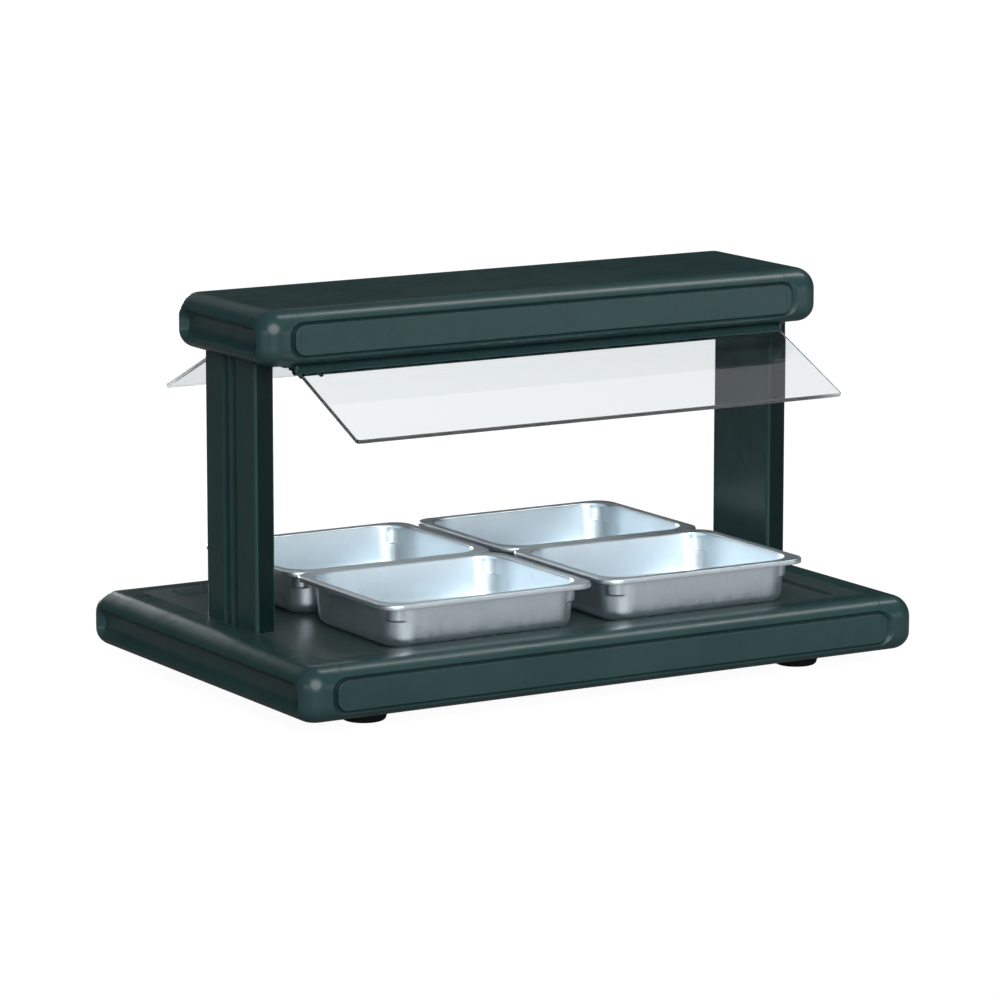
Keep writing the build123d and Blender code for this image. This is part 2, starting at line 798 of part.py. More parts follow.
# Heating element: a sheathed rod with a terminal pin at each end, in two ceramic bushings
with BuildPart() as heater_element:
    with BuildSketch(Plane.YZ):
        with Locations((0, element_z)):
            Circle(element_radius)
    extrude(amount=heater_length / 2 + element_overhang, both=True)
    with BuildSketch(Plane.YZ):
        with Locations((0, element_z)):
            Circle(terminal_radius)
    extrude(amount=heater_length / 2 + element_overhang + terminal_length, both=True)
write(heater_element, "heater_element")

with BuildPart() as element_bushings:
    for side in (-1, 1):
        seat = Plane((side * heater_length / 2, 0, element_z), x_dir=(0, side, 0), z_dir=(side, 0, 0))
        with BuildSketch(seat):
            Circle(bushing_flange_radius)
            Circle(element_radius + bushing_fit, mode=Mode.SUBTRACT)
        extrude(amount=bushing_flange)
        with BuildSketch(seat):
            Circle(bushing_radius)
            Circle(element_radius + bushing_fit, mode=Mode.SUBTRACT)
        extrude(amount=-bushing_length)
write(element_bushings, "element_bushings")

# Wire guard under the opening, hooked up through the ceiling sheet
wire_z = ceiling_sheet_bottom - wire_radius
wire_count = int(heater_length // wire_spacing)
with BuildPart() as wire_guard:
    for y in (-hook_y, hook_y):
        with BuildSketch(Plane.YZ):
            with Locations((y, wire_z)):
                Circle(wire_radius)
        extrude(amount=heater_length / 2, both=True)
    with BuildSketch(Plane.XZ):
        with Locations((0, wire_z)):
            with GridLocations(wire_spacing, 0, wire_count, 1):
                Circle(cross_wire_radius)
    extrude(amount=hook_y, both=True)
    with BuildSketch(Plane.XY.offset(wire_z)):
        with Locations(*hook_places):
            Circle(cross_wire_radius)
    extrude(amount=wire_radius + sheet_thickness + wire_hook)
write(wire_guard, "wire_guard")

# Guards. side is -1 at the front and +1 at the rear. On a guard plane local x runs along
# the hinge, local y down the glass and local z out of its upper face.
pivot_y = canopy_depth / 2 - pivot_inset
pivot_z = canopy_bottom - pivot_drop
guard_half = canopy_width / 2 - guard_end_inset
clamp_screw_x = guard_half - clamp_screw_inset


def guard_plane(side):
    tilt = radians(guard_tilt)
    return Plane(
        (0, side * pivot_y, pivot_z), x_dir=(side, 0, 0), z_dir=(0, side * sin(tilt), cos(tilt))
    )


def hinge_plane(x, side, outward):
    # Square to the hinge, at x along it, with local y up
    return Plane((x, side * pivot_y, pivot_z), x_dir=(0, outward, 0), z_dir=(outward, 0, 0))


def guard_clamp(side):
    slot_middle = clamp_front - clamp_grip / 2
    slot = glass_thickness + 2 * glass_fit
    with BuildPart() as clamp:
        with BuildSketch(guard_plane(side).offset(-clamp_thickness / 2)):
            with Locations((0, (clamp_front - clamp_tail) / 2)):
                Rectangle(2 * guard_half, clamp_front + clamp_tail)
        extrude(amount=clamp_thickness)
        with BuildSketch(guard_plane(side).offset(-slot / 2)):
            with Locations((0, slot_middle)):
                Rectangle(2 * guard_half, clamp_grip)
        extrude(amount=slot, mode=Mode.SUBTRACT)
        for end in (-1, 1):
            with BuildSketch(hinge_plane(end * guard_half, side, end)):
                Circle(pin_radius + pin_fit)
            extrude(amount=-pin_depth - pin_fit, mode=Mode.SUBTRACT)
        with BuildSketch(guard_plane(side).offset(-clamp_thickness / 2)):
            with Locations((-clamp_screw_x, slot_middle), (clamp_screw_x, slot_middle)):
                Circle(clamp_screw_radius + screw_fit)
        extrude(amount=clamp_thickness / 2 - slot / 2, mode=Mode.SUBTRACT)
    return clamp


def clamp_screws(side):
    underside = guard_plane(side).offset(-clamp_thickness / 2)
    shank = clamp_thickness / 2 - glass_thickness / 2 - glass_fit
    slot_middle = clamp_front - clamp_grip / 2
    with BuildPart() as screws:
        for x in (-clamp_screw_x, clamp_screw_x):
            with BuildSketch(underside):
                with Locations((x, slot_middle)):
                    Circle(clamp_screw_head_radius)
            extrude(amount=-clamp_screw_head)
            with BuildSketch(underside):
                with Locations((x, slot_middle)):
                    Circle(clamp_screw_radius)
            extrude(amount=shank)
    return screws


def guard_glass(side):
    inner = clamp_front - clamp_grip + glass_fit
    with BuildPart() as glass:
        with BuildSketch(guard_plane(side).offset(-glass_thickness / 2)):
            with Locations((0, (inner + guard_reach) / 2)):
                Rectangle(2 * guard_half, guard_reach - inner)
            fillet(glass_corners(vertices()), glass_corner)
        extrude(amount=glass_thickness)
    return glass


def glass_corners(corners):
    # The two lower corners of the sheet, far from the hinge
    return corners.sort_by(Axis.Y)[-2:]


def hinge_brackets(side):
    # An ear round each pin, with a tab against the underside of the canopy rail
    tab_front = canopy_depth / 2 - bottom_round
    tab_back = canopy_depth / 2 - canopy_rail_flange
    ear_back = pivot_y - tab_back
    with BuildPart() as brackets:
        for end in (-1, 1):
            ear = hinge_plane(end * (guard_half + ear_gap), side, end)
            with BuildSketch(ear):
                Circle(ear_radius)
                with Locations((end * side * (ear_radius - ear_back) / 2, pivot_drop / 2)):
                    Rectangle(ear_radius + ear_back, pivot_drop)
                Circle(pin_radius + pin_fit, mode=Mode.SUBTRACT)
            extrude(amount=ear_thickness)
            tab_x = end * (guard_half + ear_gap + ear_tab / 2)
            tab = Plane((tab_x, side * (tab_front + tab_back) / 2, canopy_bottom))
            with BuildSketch(tab):
                Rectangle(ear_tab, tab_front - tab_back)
            extrude(amount=-ear_tab_thickness)
    return brackets


def hinge_pins(side):
    with BuildPart() as pins:
        for end in (-1, 1):
            seat = hinge_plane(end * (guard_half + ear_gap + ear_thickness), side, end)
            add(screw(seat, pin_head_radius, pin_head, pin_radius, pin_depth + ear_gap + ear_thickness))
    return pins


for side_name, side in (("front", -1), ("rear", 1)):
    write(guard_clamp(side), f"{side_name}_guard_clamp")
    write(clamp_screws(side), f"{side_name}_clamp_screws")
    write(guard_glass(side), f"{side_name}_guard_glass")
    write(hinge_brackets(side), f"{side_name}_hinge_brackets")
    write(hinge_pins(side), f"{side_name}_hinge_pins")

# Control panel on the floor of the rear pocket
panel_face_y = pocket_floor_y + panel_thickness
with BuildPart() as control_panel:
    with BuildSketch(rear_plane(panel_x, pocket_floor_y)):
        RectangleRounded(panel_length, panel_height, panel_corner)
        with Locations((panel_x - knob_x, 0)):
            Circle(thermostat_boss_radius + panel_fit, mode=Mode.SUBTRACT)
        with Locations((panel_x - switch_x, 0)):
            Rectangle(
                switch_width + 2 * panel_fit, switch_height + 2 * panel_fit, mode=Mode.SUBTRACT
            )
        with Locations((panel_x - indicator_x, 0)):
            Circle(indicator_barrel_radius + panel_fit, mode=Mode.SUBTRACT)
    extrude(amount=panel_thickness)
write(control_panel, "control_panel")

# Thermostat behind the rail wall, with its shaft, knob and sensing bulb
with BuildPart() as thermostat_body:
    with BuildSketch(rear_plane(knob_x, pocket_inside_y)):
        RectangleRounded(thermostat_width, thermostat_height, panel_corner)
    extrude(amount=-thermostat_depth)
    with BuildSketch(rear_plane(knob_x, pocket_inside_y)):
        Circle(thermostat_boss_radius)
    extrude(amount=rail_wall + panel_thickness)
    with BuildSketch(rear_plane(knob_x, panel_face_y)):
        Circle(shaft_radius + shaft_fit)
    extrude(amount=-(rail_wall + panel_thickness + shaft_in_body), mode=Mode.SUBTRACT)
write(thermostat_body, "thermostat_body")

knob_face_y = panel_face_y + knob_gap
with BuildPart() as thermostat_shaft:
    with BuildSketch(rear_plane(knob_x, pocket_inside_y - shaft_in_body + shaft_fit)):
        Circle(shaft_radius)
    extrude(amount=knob_face_y + shaft_in_knob - pocket_inside_y + shaft_in_body - 2 * shaft_fit)
write(thermostat_shaft, "thermostat_shaft")

with BuildPart() as thermostat_knob:
    with BuildSketch(rear_plane(knob_x, knob_face_y)):
        Circle(knob_radius)
    extrude(amount=knob_skirt)
    with BuildSketch(rear_plane(knob_x, knob_face_y + knob_skirt)):
        SlotOverall(knob_grip_length, knob_grip_width, rotation=90)
    extrude(amount=knob_grip_height)
    fillet(thermostat_knob.faces().sort_by(Axis.Y)[-1].edges(), knob_edge_round)
    with BuildSketch(rear_plane(knob_x, knob_face_y)):
        Circle(shaft_radius + shaft_fit)
    extrude(amount=shaft_in_knob, mode=Mode.SUBTRACT)
write(thermostat_knob, "thermostat_knob")

# The bulb lies under the plate behind the blanket, and its capillary runs down to the thermostat
bulb_y = blanket_shift + blanket_width / 2 + bulb_gap + bulb_radius
bulb_z = plate_bottom - bulb_radius
capillary_end = (knob_x, pocket_inside_y - thermostat_depth, pocket_middle)
with BuildPart() as thermostat_capillary:
    with BuildSketch(Plane((knob_x - bulb_length, bulb_y, bulb_z), x_dir=(0, 1, 0), z_dir=(1, 0, 0))):
        Circle(bulb_radius)
    extrude(amount=bulb_length - capillary_bend)
    with BuildLine():
        FilletPolyline(
            (knob_x - 2 * capillary_bend, bulb_y, bulb_z),
            (knob_x, bulb_y, bulb_z),
            (knob_x, bulb_y, pocket_middle),
            capillary_end,
            radius=capillary_bend,
        )
    with BuildSketch(
        Plane((knob_x - 2 * capillary_bend, bulb_y, bulb_z), x_dir=(0, 1, 0), z_dir=(1, 0, 0))
    ):
        Circle(capillary_radius)
    sweep()
write(thermostat_capillary, "thermostat_capillary")

# Power switch: a body with a bezel, and a rocker on two trunnions
rocker_width = switch_width - 2 * switch_wall - 2 * rocker_side_gap
well_height = 2 * (rocker_half_height + rocker_rise * sin(radians(rocker_tilt)) + rocker_gap)
well_depth = rocker_root + rocker_half_height * sin(radians(rocker_tilt)) + rocker_gap
rocker_axis_y = panel_face_y + switch_bezel - rocker_dip
with BuildPart() as power_switch_body:
    with BuildSketch(rear_plane(switch_x, panel_face_y)):
        Rectangle(switch_width, switch_height)
    extrude(amount=-(panel_thickness + rail_wall + switch_body_depth))
    with BuildSketch(rear_plane(switch_x, panel_face_y)):
        RectangleRounded(
            switch_width + 2 * switch_bezel_border,
            switch_height + 2 * switch_bezel_border,
            switch_bezel_corner,
        )
    extrude(amount=switch_bezel)
    with BuildSketch(rear_plane(switch_x, panel_face_y + switch_bezel)):
        Rectangle(switch_width - 2 * switch_wall, well_height)
    extrude(amount=-(switch_bezel + well_depth), mode=Mode.SUBTRACT)
    trunnion_hole = Plane((switch_x, rocker_axis_y, pocket_middle), x_dir=(0, 1, 0), z_dir=(1, 0, 0))
    with BuildSketch(trunnion_hole):
        Circle(trunnion_radius + trunnion_fit)
    extrude(
        amount=rocker_width / 2 + trunnion_length + rocker_side_gap, both=True, mode=Mode.SUBTRACT
    )
write(power_switch_body, "power_switch_body")

with BuildPart() as power_rocker:
    rest_tilt = radians(rocker_tilt)
    rocker_plane = Plane(
        (switch_x, rocker_axis_y, pocket_middle),
        x_dir=(0, cos(rest_tilt), -sin(rest_tilt)),
        z_dir=(1, 0, 0),
    )
    with BuildSketch(rocker_plane):
        with BuildLine():
            Polyline(
                (rocker_rise, -rocker_half_height),
                (rocker_dip, 0),
                (rocker_rise, rocker_half_height),
                (0, rocker_half_height),
                (-rocker_root, 0),
                (0, -rocker_half_height),
                close=True,
            )
        make_face()
    extrude(amount=rocker_width / 2, both=True)
    with BuildSketch(rocker_plane):
        Circle(trunnion_radius)
    extrude(amount=rocker_width / 2 + trunnion_length, both=True)
write(power_rocker, "power_rocker")

with BuildPart() as indicator_lamp:
    with BuildSketch(rear_plane(indicator_x, panel_face_y)):
        Circle(indicator_radius)
    extrude(amount=indicator_flange)
    fillet(indicator_lamp.faces().sort_by(Axis.Y)[-1].edges(), indicator_round)
    with BuildSketch(rear_plane(indicator_x, panel_face_y)):
        Circle(indicator_barrel_radius)
    extrude(amount=-indicator_length)
write(indicator_lamp, "indicator_lamp")

# Cord gland in the rear pocket, with its nut inside, and the terminal block near it
with BuildPart() as cord_gland:
    with BuildSketch(rear_plane(gland_x, pocket_floor_y)):
        Circle(gland_flange_radius)
    extrude(amount=gland_flange)
    with BuildSketch(rear_plane(gland_x, pocket_floor_y)):
        Circle(gland_barrel_radius)
    extrude(amount=-gland_barrel_length)
    with BuildSketch(rear_plane(gland_x, pocket_floor_y - gland_barrel_length)):
        Circle(gland_bore_radius)
    extrude(amount=gland_barrel_length + gland_flange, mode=Mode.SUBTRACT)
write(cord_gland, "cord_gland")

with BuildPart() as cord_gland_nut:
    with BuildSketch(rear_plane(gland_x, pocket_inside_y)):
        RegularPolygon(gland_nut_size / 2, 6, major_radius=False)
        Circle(gland_barrel_radius + panel_fit, mode=Mode.SUBTRACT)
    extrude(amount=-gland_nut_height)
write(cord_gland_nut, "cord_gland_nut")

with BuildPart() as terminal_block:
    block_y = pocket_inside_y - terminal_block_wall_gap - terminal_block_width / 2
    with BuildSketch(Plane((terminal_block_x, block_y, floor_sheet_top))):
        Rectangle(terminal_block_length, terminal_block_width)
    extrude(amount=terminal_block_height)
    with BuildSketch(Plane((terminal_block_x, block_y, floor_sheet_top + terminal_block_height))):
        with GridLocations(terminal_block_length / terminal_count, 0, terminal_count, 1):
            Circle(terminal_well_radius)
    extrude(amount=-terminal_well_depth, mode=Mode.SUBTRACT)
write(terminal_block, "terminal_block")

# Pans: four of the half size, standing loose on the plate
pan_top = plate_top + pan_seat_gap + pan_depth
pan_x = pan_column_gap / 2 + pan_length / 2
pan_y = pan_row_gap / 2 + pan_width / 2


def half_size_pan(x, y):
    mouth = Plane((x, y, pan_top), x_dir=(1, 0, 0), z_dir=(0, 0, -1))
    body_length = pan_length - 2 * pan_rim_width
    body_width = pan_width - 2 * pan_rim_width
    with BuildPart() as cavity:
        with BuildSketch(mouth):
            RectangleRounded(
                body_length - 2 * pan_wall, body_width - 2 * pan_wall, pan_corner - pan_wall
            )
        extrude(amount=pan_depth - pan_wall, taper=pan_draft)
        fillet(cavity.faces().sort_by(Axis.Z)[0].edges(), pan_bottom_round - pan_wall)
    with BuildPart() as pan:
        with BuildSketch(mouth):
            RectangleRounded(body_length, body_width, pan_corner)
        extrude(amount=pan_depth, taper=pan_draft)
        fillet(pan.faces().sort_by(Axis.Z)[0].edges(), pan_bottom_round)
        with BuildSketch(mouth):
            RectangleRounded(pan_length, pan_width, pan_rim_corner)
        extrude(amount=pan_rim_thickness)
        with BuildSketch(mouth):
            RectangleRounded(pan_length, pan_width, pan_rim_corner)
            RectangleRounded(
                pan_length - 2 * pan_rim_thickness,
                pan_width - 2 * pan_rim_thickness,
                pan_rim_corner - pan_rim_thickness,
                mode=Mode.SUBTRACT,
            )
        extrude(amount=pan_rim_lip)
        add(cavity.part, mode=Mode.SUBTRACT)
    return pan


for pan_name, column, row in (
    ("pan_front_left", -1, -1),
    ("pan_front_right", 1, -1),
    ("pan_rear_left", -1, 1),
    ("pan_rear_right", 1, 1),
):
    write(half_size_pan(column * pan_x, row * pan_y), pan_name)
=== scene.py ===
import bmesh
import bpy
import json
import math
import numpy as np
from mathutils import Matrix, Vector


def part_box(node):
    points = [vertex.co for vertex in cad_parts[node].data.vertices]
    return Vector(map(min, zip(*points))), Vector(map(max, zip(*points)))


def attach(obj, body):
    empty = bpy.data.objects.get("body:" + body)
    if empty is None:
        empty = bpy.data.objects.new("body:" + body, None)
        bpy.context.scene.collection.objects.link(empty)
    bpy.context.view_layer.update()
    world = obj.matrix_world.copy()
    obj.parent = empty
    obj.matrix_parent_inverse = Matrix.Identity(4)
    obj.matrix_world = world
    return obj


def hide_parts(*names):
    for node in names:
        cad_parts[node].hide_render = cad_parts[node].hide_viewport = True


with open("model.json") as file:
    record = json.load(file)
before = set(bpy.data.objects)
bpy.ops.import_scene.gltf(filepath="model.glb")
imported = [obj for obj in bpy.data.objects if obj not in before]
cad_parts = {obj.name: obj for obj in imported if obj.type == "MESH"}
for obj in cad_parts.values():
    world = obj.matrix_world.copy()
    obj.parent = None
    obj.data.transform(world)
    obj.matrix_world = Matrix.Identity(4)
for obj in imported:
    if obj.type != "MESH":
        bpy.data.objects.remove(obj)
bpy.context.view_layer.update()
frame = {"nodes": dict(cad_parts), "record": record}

nodes = frame["nodes"]
scene = bpy.context.scene
scene.view_settings.view_transform = "Standard"
print("frame loaded, nodes:", len(nodes))

# Camera, from the front left and a little above the canopy
cameraSet = {"focal": 182.354, "sensor": 36.0, "yaw": -30.8, "pitch": 10.1,
             "distance": 6.9881, "target": (-0.0031, 0.0, 0.2508), "shift": -0.0165,
             "reach": 100.0}


def addCamera(c):
    yaw, pitch = math.radians(c["yaw"]), math.radians(c["pitch"])
    back = Vector((math.sin(yaw) * math.cos(pitch), -math.cos(yaw) * math.cos(pitch), math.sin(pitch)))
    right = Vector((math.cos(yaw), math.sin(yaw), 0.0))
    up = back.cross(right)
    lens = bpy.data.cameras.new("camera")
    lens.lens, lens.sensor_width = c["focal"], c["sensor"]
    lens.shift_y, lens.clip_end = c["shift"], c["reach"]
    eye = bpy.data.objects.new("camera", lens)
    place = Matrix.Translation(Vector(c["target"]) + back * c["distance"])
    eye.matrix_world = place @ Matrix((right, up, back)).transposed().to_4x4()
    scene.collection.objects.link(eye)
    scene.camera = eye


addCamera(cameraSet)
print("camera set")


# Shader kit: a wire is one output socket, and sums of wires make Math nodes
class Wire:
    def __init__(self, finish, socket):
        self.finish = finish
        self.socket = socket

    def join(self, operation, first, second):
        return self.finish.node("ShaderNodeMath", {"operation": operation}, {0: first, 1: second})

    def __add__(self, other):
        return self.join("ADD", self, other)

    def __sub__(self, other):
        return self.join("SUBTRACT", self, other)

    def __rsub__(self, other):
        return self.join("SUBTRACT", other, self)

    def __mul__(self, other):
        return self.join("MULTIPLY", self, other)

    def __pow__(self, other):
        return self.join("POWER", self, other)

    def most(self, other):
        return self.join("MAXIMUM", self, other)

    def size(self):
        return self.join("ABSOLUTE", self, 0.0)


class Finish:
    def __init__(self, name, fixed=None, kind=bpy.data.materials):
        self.owner = kind.new(name)
        self.owner.use_nodes = True
        self.tree = self.owner.node_tree
        self.surface = self.tree.nodes.get("Principled BSDF")
        for key, value in (fixed or {}).items():
            self.surface.inputs[key].default_value = value

    def node(self, kind, settings=None, sockets=None, output=0):
        made = self.tree.nodes.new(kind)
        for key, value in (settings or {}).items():
            setattr(made, key, value)
        for key, value in (sockets or {}).items():
            if isinstance(value, Wire):
                self.tree.links.new(value.socket, made.inputs[key])
            else:
                made.inputs[key].default_value = value
        return Wire(self, made.outputs[output])

    def feed(self, key, wire):
        self.tree.links.new(wire.socket, self.surface.inputs[key])

    def rays(self, *kinds):
        return [self.node("ShaderNodeLightPath", output="Is " + kind + " Ray") for kind in kinds]

    def place(self):
        return self.node("ShaderNodeTexCoord", output="Object")

    def axes(self, place):
        return [self.node("ShaderNodeSeparateXYZ", {}, {0: place}, i) for i in range(3)]

    def stretch(self, place, scale):
        return self.node("ShaderNodeMapping", {}, {"Vector": place, "Scale": scale})

    def noise(self, place, scale, detail=2.0):
        return self.node("ShaderNodeTexNoise", {}, {"Vector": place, "Scale": scale, "Detail": detail})

    def span(self, wire, fromLow, fromHigh, low, high):
        return self.node("ShaderNodeMapRange", {"clamp": True}, {
            "Value": wire, "From Min": fromLow, "From Max": fromHigh, "To Min": low, "To Max": high})

    def tint(self, share, first, second):
        return self.node("ShaderNodeMix", {"data_type": "RGBA"}, {0: share, 6: first, 7: second}, 2)

    def bump(self, height, distance, strength=1.0, normal=None):
        sockets = {"Height": height, "Distance": distance, "Strength": strength}
        if normal:
            sockets["Normal"] = normal
        self.feed("Normal", self.node("ShaderNodeBump", {}, sockets))


def rgb(*c):
    return (c[0], c[1], c[2], 1.0)


# Stage: a pale floor that fills the view, white to the eye, and soft lamps
stageSet = {"half": 60.0, "drop": -0.0004, "glow": 0.95, "pale": 0.16, "front": (-0.6, -0.3),
            "mirrored": (0.30, 0.04), "cool": np.array([0.95, 0.98, 1.0]), "ambient": 0.012, "overhead": 0.12,
            "skyRise": (0.45, 0.7), "aim": 0.25}
lampSet = {
    "key": {"azimuth": -20.0, "elevation": 25.0, "distance": 4.0, "spread": 52.0, "strength": 3.45},
    "strip": {"azimuth": 82.0, "elevation": 60.0, "distance": 2.6, "size": (0.32, 1.8), "power": 19.0},
    "rear": {"azimuth": 170.0, "elevation": 31.0, "distance": 3.2, "size": (2.6, 0.22), "power": 1.5},
    "low": {"azimuth": 34.0, "elevation": 5.0, "distance": 3.4, "size": (2.4, 0.8), "power": 8.5},
    "left": {"azimuth": -66.0, "elevation": 8.0, "distance": 3.4, "size": (1.6, 0.8), "power": 8.0},
    "back": {"azimuth": 178.0, "elevation": 7.0, "distance": 3.4, "size": (1.2, 0.8), "power": 42.0},
}


def addFloor(s):
    # Its share of glow in mirrors runs with y, full in front of the part and faint under and behind it: a
    # painted shadow seen only in reflections
    mesh = bpy.data.meshes.new("floor")
    h = s["half"]
    mesh.from_pydata([(-h, -h, s["drop"]), (h, -h, s["drop"]), (h, h, s["drop"]), (-h, h, s["drop"])], [],
                     [(0, 1, 2, 3)])
    floor = bpy.data.objects.new("floor", mesh)
    f = Finish("floor")
    tree = f.tree
    tree.nodes.remove(f.surface)
    seen, through, mirrored = f.rays("Camera", "Transmission", "Glossy")
    pale = f.node("ShaderNodeBsdfDiffuse", {}, {"Color": rgb(s["pale"], s["pale"], s["pale"])})
    glow = f.node("ShaderNodeEmission", {}, {"Color": rgb(1, 1, 1), "Strength": s["glow"]})
    shown = f.node("ShaderNodeAddShader", {}, {0: glow, 1: pale})
    y = f.axes(f.place())[1]
    # Painted shadow: the glow that mirrors see fades with y under and behind the part
    mirrorShadow = mirrored * f.span(y, *s["front"], *s["mirrored"])
    both = f.node("ShaderNodeMixShader", {}, {0: seen.most(through).most(mirrorShadow), 1: pale, 2: shown})
    tree.links.new(both.socket, tree.nodes["Material Output"].inputs["Surface"])
    mesh.materials.append(f.owner)
    scene.collection.objects.link(floor)


def addWorld(s):
    # White to the eye and through glass; as light, dim near the horizon and paler overhead
    f = Finish("studio", kind=bpy.data.worlds)
    rise = f.axes(f.node("ShaderNodeTexCoord", output="Generated"))[2]
    share = f.span(rise, *s["skyRise"], 0.0, 1.0)
    colour = f.tint(share, rgb(*(s["cool"] * s["ambient"])), rgb(*(s["cool"] * s["overhead"])))
    sky = f.node("ShaderNodeBackground", {}, {"Color": colour})
    white = f.node("ShaderNodeBackground", {}, {"Color": rgb(1, 1, 1)})
    seen, through = f.rays("Camera", "Transmission")
    both = f.node("ShaderNodeMixShader", {}, {0: seen.most(through), 1: sky, 2: white})
    f.tree.links.new(both.socket, f.tree.nodes["World Output"].inputs["Surface"])
    scene.world = f.owner


def addLamp(name, l, aim):
    azimuth, elevation = math.radians(l["azimuth"]), math.radians(l["elevation"])
    out = Vector((math.sin(azimuth) * math.cos(elevation), -math.cos(azimuth) * math.cos(elevation),
                  math.sin(elevation)))
    lamp = bpy.data.lights.new(name, "SUN" if "spread" in l else "AREA")
    if "spread" in l:
        lamp.angle, lamp.energy = math.radians(l["spread"]), l["strength"]
    else:
        lamp.shape = "RECTANGLE"
        lamp.size, lamp.size_y, lamp.energy = *l["size"], l["power"]
    holder = bpy.data.objects.new(name, lamp)
    holder.location = Vector((0.0, 0.0, aim)) + out * l["distance"]
    holder.rotation_euler = out.to_track_quat("Z", "Y").to_euler()
    scene.collection.objects.link(holder)


addFloor(stageSet)
addWorld(stageSet)
for lampName, lampFacts in lampSet.items():
    addLamp(lampName, lampFacts, stageSet["aim"])
print("stage set")


# Sheets of the guards, in metres from the hinge down the slope
glassSet = {"half": 0.380, "near": 0.0041, "far": 0.1765, "thick": 0.006, "corner": 0.005, "edge": 0.0009,
            "tilt": math.radians(24.0), "pivot": (0.110, 0.452),
            "rise": np.array([-0.5, -0.36, -0.2, 0.2, 0.36, 0.5]),
            "inset": np.array([1.0, 0.3, 0.0, 0.0, 0.3, 1.0]), "cornerShare": 0.5, "arcPoints": 9,
            "bend": 1.5, "body": (0.845, 0.878, 0.884), "haze": (26.0, 5.0), "hazeBand": (0.45, 0.75),
            "hazeRough": 0.035, "groundBand": (-1.3, -1.1), "groundRough": 0.6}


# Finishes. Places in them are in metres, in the frame's own axes.
# Each noise is given as its scale and its detail; mid is the band of a noise that is spread over a range.
mid = (0.3, 0.7)
full = (0.0, 1.0)
# paintedShade is the darker colour painted on the posts' narrow faces to stand for shade
paintSet = {"broad": (11.0, 4.0), "peel": (700.0, 3.0), "speck": (2600.0, 1.0), "dark": (0.016, 0.041, 0.042),
            "light": (0.022, 0.051, 0.052), "paintedShade": (0.001, 0.009, 0.009), "blend": 0.0004,
            "rough": (0.24, 0.33), "relief": 0.00012, "strength": 0.3, "samples": 8}
frameCoat = {"ease": 0.0016, "shine": 0.35}
# edge: the y past which the posts' narrow faces take the painted shade colour
postCoat = {"ease": 0.0012, "shine": 0.18, "edge": 0.0712}


def framePaint(name, p, coat):
    # Powder coat: tone drifts with a broad noise, grain is a millimetre noise with a finer one on it, and
    # arrises are broken by a small radius. Past the edge value of y the faces take a darker colour, which is
    # painted shade.
    f = Finish(name, {"Specular IOR Level": coat["shine"]})
    at = f.place()
    broad, peel, speck = [f.noise(at, *p[key]) for key in ("broad", "peel", "speck")]
    tone = f.span(broad * 0.7 + speck * 0.3, *mid, *full)
    colour = f.tint(tone, rgb(*p["dark"]), rgb(*p["light"]))
    # Painted shade: past the edge value of y the colour goes to the dark paintedShade tone
    if "edge" in coat:
        far = f.span(f.axes(at)[1].size(), coat["edge"] - p["blend"], coat["edge"], *full)
        colour = f.tint(far, colour, rgb(*p["paintedShade"]))
    f.feed("Base Color", colour)
    f.feed("Roughness", f.span(broad * 0.5 + speck * 0.5, *mid, *p["rough"]))
    eased = f.node("ShaderNodeBevel", {"samples": p["samples"]}, {"Radius": coat["ease"]})
    f.bump(peel * 0.75 + speck * 0.25, p["relief"], p["strength"], eased)
    return f.owner


plateSet = {"lines": (3.0, 900.0, 900.0), "scuffs": (22.0, 60.0, 22.0), "broad": (7.0, 4.0),
            "dark": (0.040, 0.066, 0.066), "light": (0.054, 0.083, 0.083), "scuffed": (0.085, 0.105, 0.104),
            "scuffBand": (0.56, 0.72), "scuffShare": 0.3, "toneBand": (0.35, 0.65), "roughBand": (0.2, 0.8),
            "rough": (0.30, 0.44), "relief": 0.00002, "strength": 0.5, "metallic": 0.25}


def plateMetal(p):
    # Hard-coated sheet: long rolling lines along x, pale scuffs where pans slide
    f = Finish("plateMetal", {"Metallic": p["metallic"]})
    at = f.place()
    lines = f.noise(f.stretch(at, p["lines"]), 1.0, 3.0)
    broad = f.noise(at, *p["broad"])
    scuff = f.span(f.noise(f.stretch(at, p["scuffs"]), 1.0, 6.0), *p["scuffBand"], *full)
    tone = f.span(lines * 0.5 + broad * 0.5, *p["toneBand"], *full)
    base = f.tint(tone, rgb(*p["dark"]), rgb(*p["light"]))
    f.feed("Base Color", f.tint(scuff * p["scuffShare"], base, rgb(*p["scuffed"])))
    f.feed("Roughness", f.span(lines * 0.6 + scuff * 0.4, *p["roughBand"], *p["rough"]))
    f.bump(lines, p["relief"], p["strength"])
    return f.owner


def guardGlass(g):
    # Clear sheet with a faint green body and a film of finger haze; its edges, which lie past a distance from
    # the hinge or from the middle, are ground dull
    f = Finish("guardGlass", {"Base Color": rgb(*g["body"]), "IOR": g["bend"], "Transmission Weight": 1.0})
    at = f.place()
    haze = f.noise(at, *g["haze"])
    x, y, z = f.axes(at)
    down = (y.size() - g["pivot"][0]) * math.cos(g["tilt"]) + (g["pivot"][1] - z) * math.sin(g["tilt"])
    past = (down - g["far"]).most(x.size() - g["half"])
    ground = f.span(past, *[share * g["edge"] for share in g["groundBand"]], 0.0, g["groundRough"])
    f.feed("Roughness", ground + f.span(haze, *g["hazeBand"], 0.0, g["hazeRough"]))
    return f.owner


panSteelSet = {"marks": (420.0, 420.0, 14.0), "swirl": (90.0, 90.0, 90.0), "broad": (16.0, 4.0),
               "dark": (0.665, 0.75, 0.805), "light": (0.745, 0.835, 0.89), "rough": (0.34, 0.47),
               "relief": 0.00003, "strength": 0.5}


